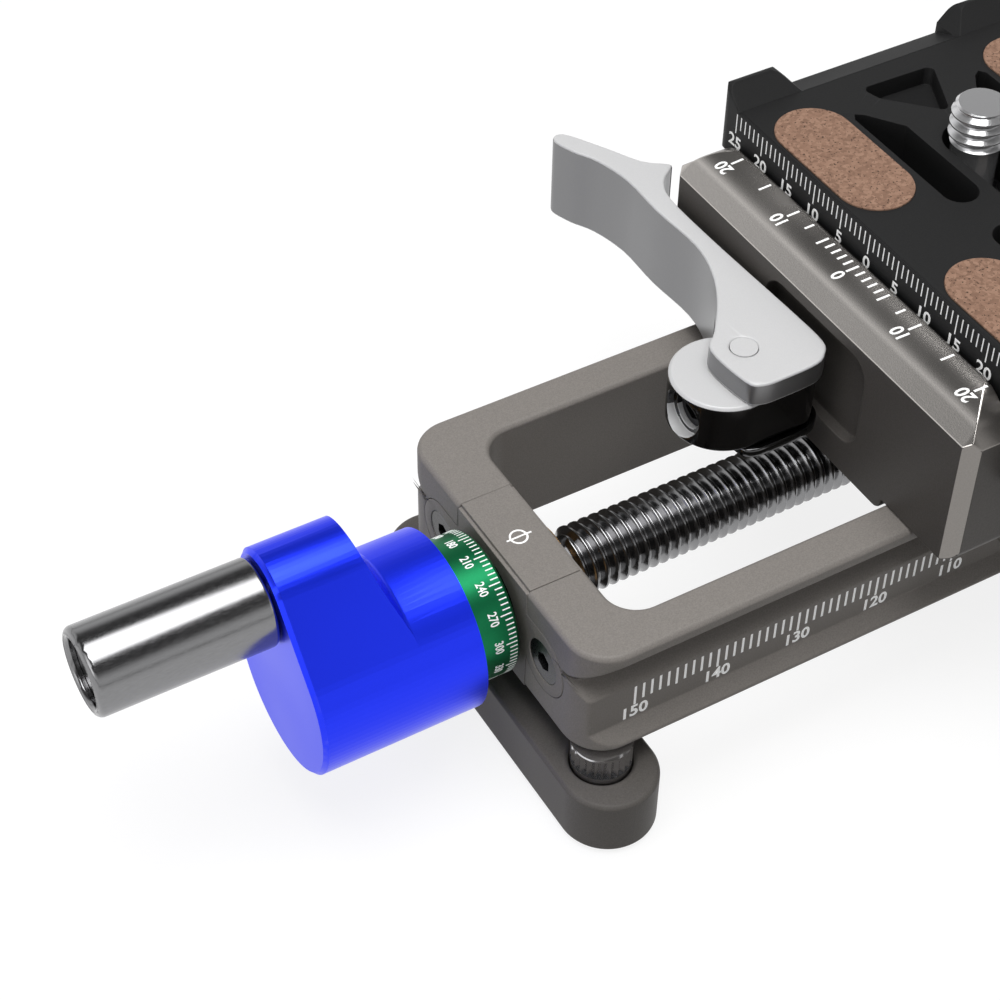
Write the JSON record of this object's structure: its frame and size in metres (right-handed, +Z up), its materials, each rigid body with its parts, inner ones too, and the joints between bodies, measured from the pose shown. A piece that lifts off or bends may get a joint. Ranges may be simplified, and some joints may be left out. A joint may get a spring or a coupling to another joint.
{
  "type": "macro focusing rail",
  "caption": "Lead-screw focusing rail with cranked knob, lever-clamped sliding camera plate and swing-out feet",
  "frame": {"origin": "centre of the rail's bottom face, between the dovetail bands", "axes": "+X along the rail away from the knob, +Y across it towards the cam lever's tip, +Z up to the camera plate"},
  "size_m": [0.208, 0.071, 0.0534],
  "materials": {
    "grey_aluminium": "bead-blasted, anodised titanium grey",
    "blue_aluminium": "satin, anodised blue",
    "green_aluminium": "satin, anodised green",
    "silver_aluminium": "satin, clear anodised",
    "black_aluminium": "bead-blasted, anodised black",
    "steel": "turned",
    "polished_steel": "polished",
    "black_steel": "blackened",
    "bronze": "turned",
    "cork": "pressed cork, matt",
    "rubber": "matt"
  },
  "bodies": {
    "rail": {"rail_frame": "grey_aluminium", "front_bearing_block": "grey_aluminium", "block_screws": "black_steel", "front_bearing": "steel", "rear_bearing": "steel", "rear_end_cap": "black_steel", "front_foot_post": "polished_steel", "rear_foot_post": "polished_steel", "front_foot_screw": "black_steel", "rear_foot_screw": "black_steel"},
    "screw": {"lead_screw": "steel", "thrust_washer": "steel", "shaft_spacer": "black_steel", "dial_ring": "green_aluminium", "crank_knob": "blue_aluminium", "knob_set_screw": "black_steel", "handle_shoulder_screw": "polished_steel"},
    "handle": {"handle_grip": "polished_steel"},
    "carriage": {"clamp_body": "grey_aluminium", "near_gib": "grey_aluminium", "far_gib": "grey_aluminium", "gib_screws": "black_steel", "nut_block": "grey_aluminium", "nut_block_screws": "black_steel", "drive_nut": "bronze", "nut_set_screw": "black_steel", "jaw_guide_pins": "steel"},
    "jaw": {"far_jaw": "grey_aluminium", "tension_bolt": "steel", "bolt_collar": "black_steel", "trunnion_block": "silver_aluminium", "trunnion_screw": "black_steel", "lever_pin": "steel"},
    "lever": {"cam_lever": "silver_aluminium"},
    "plate": {"camera_plate": "black_aluminium", "cork_pads": "cork"},
    "collar": {"screw_collar": "black_steel"},
    "camera_screw": {"camera_screw": "steel"},
    "front_foot": {"front_foot_bar": "grey_aluminium", "front_foot_pad": "rubber"},
    "rear_foot": {"rear_foot_bar": "grey_aluminium", "rear_foot_pad": "rubber"}
  },
  "joints": [
    {"name": "screw_turn", "type": "hinge", "parent": "rail", "child": "screw", "pos_m": [0, 0, 0.00717], "axis": [1, 0, 0], "range_deg": [-21600, 3456]},
    {"name": "carriage_slide", "type": "slide", "parent": "rail", "child": "carriage", "axis": [1, 0, 0], "range_m": [-0.012, 0.075]},
    {"name": "handle_spin", "type": "hinge", "parent": "screw", "child": "handle", "pos_m": [-0.115, 0.00263, 0.01712], "axis": [1, 0, 0], "continuous": true},
    {"name": "jaw_slide", "type": "slide", "parent": "carriage", "child": "jaw", "axis": [1, 0, 0], "range_m": [0, 0.0012]},
    {"name": "lever_turn", "type": "hinge", "parent": "jaw", "child": "lever", "pos_m": [-0.0513, 0.00113, 0.025], "axis": [0, 0, 1], "range_deg": [0, 60]},
    {"name": "plate_slide", "type": "slide", "parent": "carriage", "child": "plate", "axis": [0, 1, 0], "range_m": [-0.02, 0.02]},
    {"name": "camera_screw_slide", "type": "slide", "parent": "plate", "child": "collar", "axis": [0, 1, 0], "range_m": [-0.0142, 0]},
    {"name": "camera_screw_spin", "type": "hinge", "parent": "collar", "child": "camera_screw", "pos_m": [-0.0186, 0.00713, 0.035], "axis": [0, 0, 1], "continuous": true},
    {"name": "front_foot_swing", "type": "hinge", "parent": "rail", "child": "front_foot", "pos_m": [-0.078, -0.01665, -0.005], "axis": [0, 0, 1], "range_deg": [-180, 0]},
    {"name": "rear_foot_swing", "type": "hinge", "parent": "rail", "child": "rear_foot", "pos_m": [0.078, 0.01665, -0.005], "axis": [0, 0, 1], "range_deg": [-180, 0]}
  ],
  "couplings": [
    {"joint": "screw_turn", "follows": "carriage_slide", "rad_per_m": -5026.5},
    {"joint": "lever_turn", "follows": "jaw_slide", "rad_per_m": 872.66}
  ]
}
